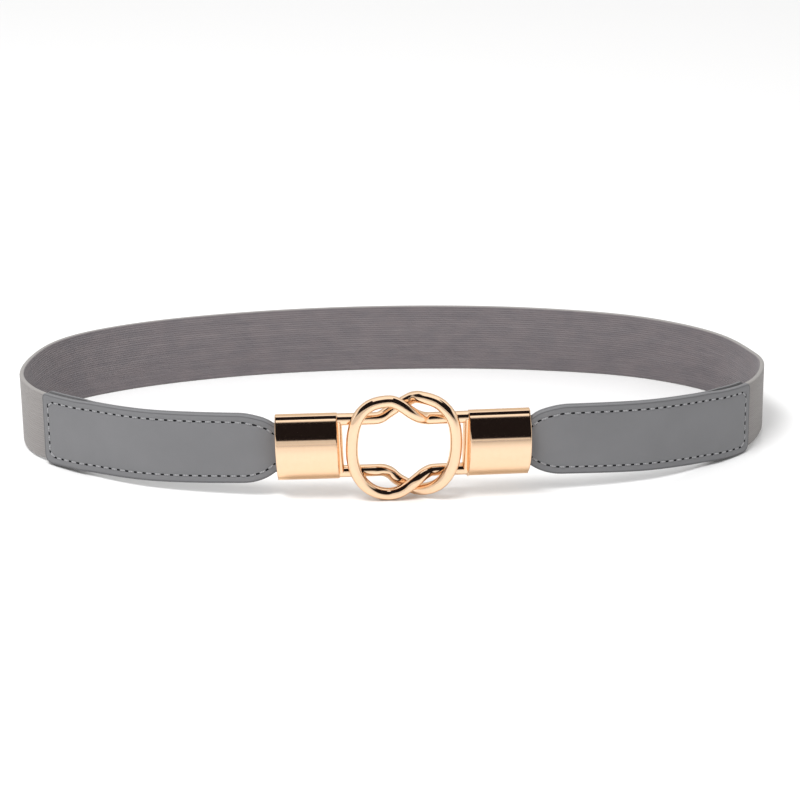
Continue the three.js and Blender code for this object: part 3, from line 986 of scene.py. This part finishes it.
def rounded_outline(corners, steps=5):
    """A closed outline of (x, y, radius) corners with each corner rounded off."""
    outline = []
    for k, (x, y, radius) in enumerate(corners):
        here = Vector((x, y))
        before = (Vector(corners[k - 1][:2]) - here).normalized()
        after = (Vector(corners[(k + 1) % len(corners)][:2]) - here).normalized()
        if radius == 0:
            outline.append(here)
            continue
        bend = before.angle(after) / 2
        centre = here + (before + after).normalized() * radius / math.sin(bend)
        start = here + before * radius / math.tan(bend) - centre
        end = here + after * radius / math.tan(bend) - centre
        for step in range(steps + 1):
            outline.append(centre + start.slerp(end, step / steps))
    return outline


def sleeve_outline():
    """The sleeve's section as (depth, height) points: rounded front, softened edges, flat back."""
    back = SLOT_DEPTH / 2 + SLEEVE_BACK_WALL
    half, edge = SLEEVE_HEIGHT / 2, SLEEVE_EDGE / 2
    radius = (half ** 2 + SLEEVE_BULGE ** 2) / (2 * SLEEVE_BULGE)
    reach = math.asin(half / radius)
    corners = [(back, half - SLEEVE_BACK_BEVEL, SLEEVE_BACK_CORNER),
               (back, -half + SLEEVE_BACK_BEVEL, SLEEVE_BACK_CORNER), (edge, -half, SLEEVE_CORNER)]
    for k in range(SLEEVE_STEPS + 1):
        angle = reach * (2 * k / SLEEVE_STEPS - 1)
        softness = SLEEVE_CORNER if k in (0, SLEEVE_STEPS) else 0
        depth = -edge - SLEEVE_BULGE + radius * (1 - math.cos(angle))
        corners.append((depth, radius * math.sin(angle), softness))
    corners.append((edge, half, SLEEVE_CORNER))
    return rounded_outline(corners)


def shrunk(outline, amount):
    """The outline moved inwards along its own normals."""
    moved = []
    for k, point in enumerate(outline):
        along = outline[(k + 1) % len(outline)] - outline[k - 1]
        normal = Vector((along.y, -along.x)).normalized()
        moved.append(point - normal * amount)
    centre = sum(outline, Vector((0, 0))) / len(outline)
    if sum((p - centre).length for p in moved) > sum((p - centre).length for p in outline) and amount > 0:
        moved = [2 * p - q for p, q in zip(outline, moved)]
    return moved


def sleeve_rings(name, sizes):
    """Rings of points from the sleeve's closed end over its outside and into its slot."""
    outline = sleeve_outline()
    soft = sizes.sleeve_edge / MM
    near, far = SLEEVE_MOUTH - SLEEVE_LENGTH, SLEEVE_MOUTH
    turns = [math.pi / 2 * k / TURN_STEPS for k in range(TURN_STEPS + 1)]
    rounding = [(soft * (1 - math.cos(a)), shrunk(outline, soft * (1 - math.sin(a)))) for a in turns]
    rings = [(near, shrunk(outline, soft + 0.5)), (near, shrunk(outline, soft + 0.12))]
    rings += [(near + x, ring) for x, ring in rounding]
    rings += [(x, outline) for x in (near + soft + 0.2, *spaced(near + 2, far - 2, 2), far - soft - 0.2)]
    rings += [(far - x, ring) for x, ring in reversed(rounding)]
    rings.append((far, shrunk(outline, soft + 0.12)))
    depth, height = SLOT_DEPTH / 2, NECK_WIDTH / 2 + CLEARANCE
    slot = [Vector((min(max(p.x, -depth), depth), min(max(p.y, -height), height))) for p in outline]
    wide = [Vector((p.x * 1.06, p.y * 1.01)) for p in slot]
    rings += [(far, wide), (far - 0.12, slot), (far - 2, slot), (far - SLEEVE_LENGTH + SLEEVE_END_WALL, slot)]
    return [[Vector((SIDES[name] * x, p.x, p.y)) for p in ring] for x, ring in rings]


def solder_rings(name, level):
    """Rings of points for the solder that runs out round an arm where it meets the sleeve."""
    near = SLEEVE_MOUTH - SLEEVE_LENGTH
    spread = SOLDER_BLOB if (name, level) == ("right", -1) else SOLDER_SPREAD
    rings = []
    for k in range(SOLDER_STEPS + 1):
        share = k / SOLDER_STEPS
        rise = spread * SOLDER_RISE_SHARE * (1 - math.sqrt(1 - (1 - share) ** 2))
        radius = WIRE_DIAMETER / 2 - SOLDER_SINK + rise
        x = SIDES[name] * (near + SOLDER_TUCK - (spread + SOLDER_TUCK) * share)
        angles = [math.tau * turn / SOLDER_SIDES for turn in range(SOLDER_SIDES)]
        rings.append([Vector((x, radius * math.cos(a), level * ARM_SPACING / 2 + radius * math.sin(a)))
                      for a in angles])
    return rings


def rounded_box(size, centre, radius, steps=3):
    """Rings of points for a box with rounded edges, closed by its two ends."""
    def outline(grow):
        half_x, half_y = size[0] / 2 - grow, size[1] / 2 - grow
        corner = max(radius - grow, 0.05)
        return rounded_outline([(-half_x, -half_y, corner), (half_x, -half_y, corner),
                                (half_x, half_y, corner), (-half_x, half_y, corner)], steps)

    rings = []
    for end in (-1, 1):
        turns = range(steps + 1) if end < 0 else range(steps, -1, -1)
        for k in turns:
            angle = math.pi / 2 * k / steps
            grow = radius * (1 - math.sin(angle)) * 0.95
            z = end * (size[2] / 2 - radius * (1 - math.cos(angle)))
            rings.append([Vector((p.x + centre[0], p.y + centre[1], z + centre[2])) for p in outline(grow)])
    return rings


def solid_of_rings(name, rings, matrix):
    """A closed object through rings with the same number of points."""
    points = [(matrix @ p + strap.shift) * MM for ring in rings for p in ring]
    piece = mesh_object(name, points, ring_faces(len(rings), len(rings[0])))
    face_outwards(piece)
    return piece


def buckle_half(name, sizes, material):
    """One half of the buckle: wire, sleeve, upright bar and solder."""
    matrix = half_matrix(name)
    route = wire_route(name)
    line = [(matrix @ route.at(route.share_at(route.length * k / WIRE_STEPS)) + strap.shift) * MM
            for k in range(WIRE_STEPS + 1)]
    wire = bpy.data.objects.new(f"{name}_wire", bpy.data.meshes.new(f"{name}_wire"))
    wire.data.from_pydata([tuple(p) for p in line], [(k, k + 1) for k in range(WIRE_STEPS)], [])
    bpy.context.scene.collection.objects.link(wire)
    run_tree(wire, wire_tree(), Radius=WIRE_DIAMETER / 2 * MM, Sides=WIRE_SIDES, Material=material)
    face_outwards(wire)
    sleeve = solid_of_rings(f"{name}_sleeve", sleeve_rings(name, sizes), matrix)
    inset = SLEEVE_MOUTH - SLEEVE_LENGTH - BAR_WIDTH / 2 + CLEARANCE
    centre = (SIDES[name] * inset, 0, 0)
    bar_rings = rounded_box((BAR_WIDTH, BAR_DEPTH, ARM_SPACING), centre, BAR_CORNER)
    bar = solid_of_rings(f"{name}_bar", bar_rings, matrix)
    solder = [solid_of_rings(f"{name}_solder", solder_rings(name, level), matrix) for level in (1, -1)]
    parts = [wire, sleeve, bar, *solder]
    for part in parts:
        part.data.materials.clear()
        part.data.materials.append(material)
    bpy.ops.object.select_all(action="DESELECT")
    for part in parts:
        part.select_set(True)
    bpy.context.view_layer.objects.active = wire
    bpy.ops.object.join()
    wire.name = f"{name}_buckle_half_metal"
    return wire


# Settings

def metres(name, description, value, low, high):
    """A length property."""
    return FloatProperty(name=name, description=description, default=value, min=low, max=high,
                         unit="LENGTH", subtype="DISTANCE")


class BeltSizes(bpy.types.PropertyGroup):
    """Sizes of the belt's details."""
    rib_count: IntProperty(name="Ribs", description="Lengthwise ribs across the webbing", default=30,
                           min=4, max=40)
    rib_height: metres("Rib height", "How far a rib stands out of its grooves", 0.00012, 0, 0.0005)
    stitch_pitch: metres("Stitch pitch", "From one stitch to the next", 0.0035, 0.002, 0.01)
    stitch_inset: metres("Stitch inset", "From the leather's edge to the seam", 0.0028, 0.0015, 0.006)
    thread_radius: metres("Thread radius", "Radius of the sewing thread", 0.00035, 0.0001, 0.0006)
    hole_length: metres("Hole length", "Length of a needle hole along the seam", 0.0019, 0.0003, 0.003)
    hole_width: metres("Hole width", "Width of a needle hole across the seam", 0.001, 0.0002, 0.002)
    edge_round: metres("Leather edge", "Radius of the leather's rounded edge", 0.00045, 0.0001, 0.001)
    sleeve_edge: metres("Sleeve edge", "Radius of the sleeve's end edges", 0.00045, 0.0001, 0.001)


def colour(name, description, value):
    """A colour property with its default given as display values."""
    return FloatVectorProperty(name=name, description=description, subtype="COLOR", size=3, min=0, max=1,
                               default=linear(*value))


class BeltColours(bpy.types.PropertyGroup):
    """Colours of the belt's finishes."""
    elastic: colour("Elastic", "Main grey of the webbing", (112, 107, 110))
    elastic_warm: colour("Elastic, warm", "Warmer patches of the webbing", (120, 113, 115))
    # Painted light: the outer face is painted lighter as lit, against the inner face's shade.
    elastic_lit_outer: colour("Elastic, outer face", "Lighter outer face of the webbing", (154, 150, 147))
    # Painted highlight along the webbing's edges, for the light falling on the top edge from above.
    elastic_lit_rim: colour("Elastic, rim", "Light yarn along the webbing's edges", (152, 149, 146))
    elastic_light: colour("Elastic, light", "Worn light streaks of the webbing", (148, 142, 142))
    # Painted shade in the grooves between the ribs.
    elastic_groove_shade: colour("Elastic, groove", "Grooves between the ribs", (72, 66, 70))
    leather: colour("Leather", "Main grey of the leather", (113, 113, 115))
    leather_light: colour("Leather, light", "Lighter clouds in the leather", (118, 118, 120))
    # Painted shade for the leather's crease and inside its needle holes.
    leather_shade: colour("Leather, crease", "Creases and seams in the leather", (64, 64, 66))
    edge_paint: colour("Edge paint", "Painted cut edge of the leather", (116, 116, 118))
    # Painted shade on the lower painted edge, which faces away from the light.
    edge_paint_shade: colour("Edge paint, lower", "The painted edge where it is worn and grimy", (58, 58, 60))
    thread: colour("Thread", "Sewing thread", (164, 164, 166))
    # Painted shade between the thread's strands.
    thread_shade: colour("Thread, dark", "Between the thread's strands", (120, 120, 122))
    hole: colour("Hole", "Inside of a needle hole", (20, 20, 22))
    gold: colour("Gold", "Polished plated metal", (246, 213, 180))
    gold_deep: colour("Gold, deep", "Deeper tone of the plating", (241, 204, 166))
    gold_rim: colour("Gold, rim", "Tint of the plating where it turns away", (246, 222, 196))
    floor: colour("Floor", "Surface that the belt stands on", (248, 248, 248))
    floor_front: colour("Floor, front", "The surface in front, where the light falls off", (205, 203, 202))


class BeltStage(bpy.types.PropertyGroup):
    """Camera and light."""
    elevation: FloatProperty(name="Elevation", description="Height of the camera's view", subtype="ANGLE",
                             default=math.radians(21))
    azimuth: FloatProperty(name="Azimuth", description="How far the camera stands to the left",
                           subtype="ANGLE", default=math.radians(3))
    distance: FloatProperty(name="Distance", description="From the camera to its target", default=1.3,
                            unit="LENGTH", subtype="DISTANCE")
    lens: FloatProperty(name="Lens", description="Focal length in millimetres", default=154.6)
    lamp: FloatProperty(name="Lamp", description="Power of the soft lamp in watts", default=12.0)
    sky: FloatProperty(name="Sky", description="Strength of the even light all round", default=0.79)


# Operators

class BELT_OT_webbing(bpy.types.Operator):
    """Make the ribbed elastic webbing"""
    bl_idname = "belt.webbing"
    bl_label = "Elastic webbing"

    def execute(self, context):
        sizes, colours = context.scene.belt_sizes, context.scene.belt_colours
        hand_over(webbing_piece(sizes, elastic_finish(colours, sizes)), "elastic", "elastic_webbing")
        return {"FINISHED"}


class BELT_OT_leather(bpy.types.Operator):
    """Make the two plies of each leather tab"""
    bl_idname = "belt.leather"
    bl_label = "Leather tabs"

    def execute(self, context):
        sizes = context.scene.belt_sizes
        material = leather_finish(context.scene.belt_colours)
        for name in SIDES:
            hand_over(ply_piece(name, 1, sizes, material), "leather", f"{name}_front_leather")
            hand_over(ply_piece(name, -1, sizes, material), "leather", f"{name}_back_leather")
        return {"FINISHED"}


class BELT_OT_stitching(bpy.types.Operator):
    """Sew the leather tabs with thread and needle holes"""
    bl_idname = "belt.stitching"
    bl_label = "Stitching"

    def execute(self, context):
        sizes, colours = context.scene.belt_sizes, context.scene.belt_colours
        thread = stitching_piece("sewing_thread", sizes, 0.5, stitch_tree(), {
            "Length": sizes.stitch_pitch - sizes.hole_length * 0.75, "Radius": sizes.thread_radius,
            "Bow": sizes.thread_radius, "Sink": sizes.thread_radius * 0.8,
            "Material": thread_finish(colours)})
        hand_over(thread, "leather")
        holes = stitching_piece("needle_holes", sizes, 0.0, hole_tree(), {
            "Length": sizes.hole_length, "Width": sizes.hole_width, "Depth": 0.0002,
            "Material": hole_finish(colours)})
        hand_over(holes, "leather")
        return {"FINISHED"}


class BELT_OT_buckle(bpy.types.Operator):
    """Make both halves of the interlocking buckle"""
    bl_idname = "belt.buckle"
    bl_label = "Buckle"

    def execute(self, context):
        material = gold_finish(context.scene.belt_colours)
        for name in SIDES:
            half = buckle_half(name, context.scene.belt_sizes, material)
            hand_over(half, "gold_metal", f"{name}_buckle_half")
        return {"FINISHED"}


class BELT_OT_stage(bpy.types.Operator):
    """Set up the floor, the light and the camera"""
    bl_idname = "belt.stage"
    bl_label = "Stage"

    def execute(self, context):
        scene, stage = context.scene, context.scene.belt_stage
        size = FLOOR_HALF_WIDTH
        floor = mesh_object("floor", [(-size, -size, 0), (size, -size, 0), (size, size, 0), (-size, size, 0)],
                            [(0, 1, 2, 3)])
        floor.data.materials.append(floor_finish(scene.belt_colours))
        self.lamp(scene, stage)
        self.studio(scene, stage)
        self.camera(scene, stage)
        scene.view_settings.view_transform = "Standard"
        return {"FINISHED"}

    def lamp(self, scene, stage):
        """A soft lamp above the front left, which the metal doesn't mirror."""
        lamp = bpy.data.lights.new("soft_lamp", "AREA")
        lamp.shape = "RECTANGLE"
        lamp.size, lamp.size_y = LAMP_SIZE
        lamp.energy = stage.lamp
        holder = bpy.data.objects.new("soft_lamp", lamp)
        place = Vector(LAMP_PLACE)
        holder.matrix_world = Matrix.Translation(place) @ place.to_track_quat("Z", "Y").to_matrix().to_4x4()
        holder.visible_glossy = False
        scene.collection.objects.link(holder)

    def studio(self, scene, stage):
        """Surroundings: even light for matt surfaces, a dark band and soft greys in mirrored rays."""
        world = bpy.data.worlds.new("studio")
        world.use_nodes = True
        scene.world = world
        world.node_tree.nodes.clear()
        b = Bench(world.node_tree)
        x, y, z = b.parts(b.node("ShaderNodeTexCoord", None, None, output="Generated"))
        angle = b.node("ShaderNodeMath", {"operation": "ARCTAN2"}, [z, y * -1]) * (180 / math.pi)
        low = angle - (DARK_START - x * DARK_START_DRIFT)
        high = angle - (DARK_END + x.size().between(0.25, 0.34) * DARK_END_RISE)
        dark = low.between(-1.5, 1.5) * (1 - high.between(-2, 3)) * (1 - x.size().between(0.8, 0.95))
        bright = STUDIO_LOW
        for start, end, tone in STUDIO_STEPS:
            bright = b.mix(angle.between(start, end), bright, tone)
        seen = b.mix(dark, bright, STUDIO_DARK)
        rays = b.node("ShaderNodeLightPath").socket.node.outputs
        even = (stage.sky, stage.sky, stage.sky)
        tone = b.mix(Signal(b, rays["Is Glossy Ray"]), even, seen)
        tone = b.mix(Signal(b, rays["Is Camera Ray"]), tone, BACKDROP)
        back = b.node("ShaderNodeBackground", None, {"Color": tone})
        b.node("ShaderNodeOutputWorld", None, {"Surface": back})

    def camera(self, scene, stage):
        lens = bpy.data.cameras.new("camera")
        lens.lens = stage.lens
        lens.sensor_width = 36
        lens.clip_start = 0.05
        camera = bpy.data.objects.new("camera", lens)
        flat = math.cos(stage.elevation)
        forward = Vector((math.sin(stage.azimuth) * flat, math.cos(stage.azimuth) * flat,
                          -math.sin(stage.elevation)))
        right = Vector((math.cos(stage.azimuth), -math.sin(stage.azimuth), 0))
        up = right.cross(forward)
        target = (Vector(CAMERA_TARGET) + strap.shift) * MM
        turn = Matrix((right, up, -forward)).transposed().to_4x4()
        camera.matrix_world = Matrix.Translation(target - forward * stage.distance) @ turn
        scene.collection.objects.link(camera)
        scene.camera = camera


class BELT_PT_panel(bpy.types.Panel):
    """The belt's settings and steps"""
    bl_label = "Elastic stretch belt"
    bl_idname = "BELT_PT_panel"
    bl_space_type = "VIEW_3D"
    bl_region_type = "UI"
    bl_category = "Belt"

    def draw(self, context):
        for group in (context.scene.belt_sizes, context.scene.belt_colours, context.scene.belt_stage):
            for key in group.bl_rna.properties.keys():
                if key not in ("rna_type", "name"):
                    self.layout.prop(group, key)
        for operator in OPERATORS:
            self.layout.operator(operator.bl_idname)


OPERATORS = (BELT_OT_webbing, BELT_OT_leather, BELT_OT_stitching, BELT_OT_buckle, BELT_OT_stage)
GROUPS = {"belt_sizes": BeltSizes, "belt_colours": BeltColours, "belt_stage": BeltStage}


def register():
    for thing in (*GROUPS.values(), *OPERATORS, BELT_PT_panel):
        bpy.utils.register_class(thing)
    for key, group in GROUPS.items():
        setattr(bpy.types.Scene, key, PointerProperty(type=group))


def unregister():
    for key in GROUPS:
        delattr(bpy.types.Scene, key)
    for thing in (BELT_PT_panel, *reversed(OPERATORS), *reversed(GROUPS.values())):
        bpy.utils.unregister_class(thing)


def main():
    """Builds the belt and its stage."""
    register()
    bpy.ops.belt.webbing()
    bpy.ops.belt.leather()
    bpy.ops.belt.stitching()
    bpy.ops.belt.buckle()
    bpy.ops.belt.stage()


if __name__ == "__main__":
    main()
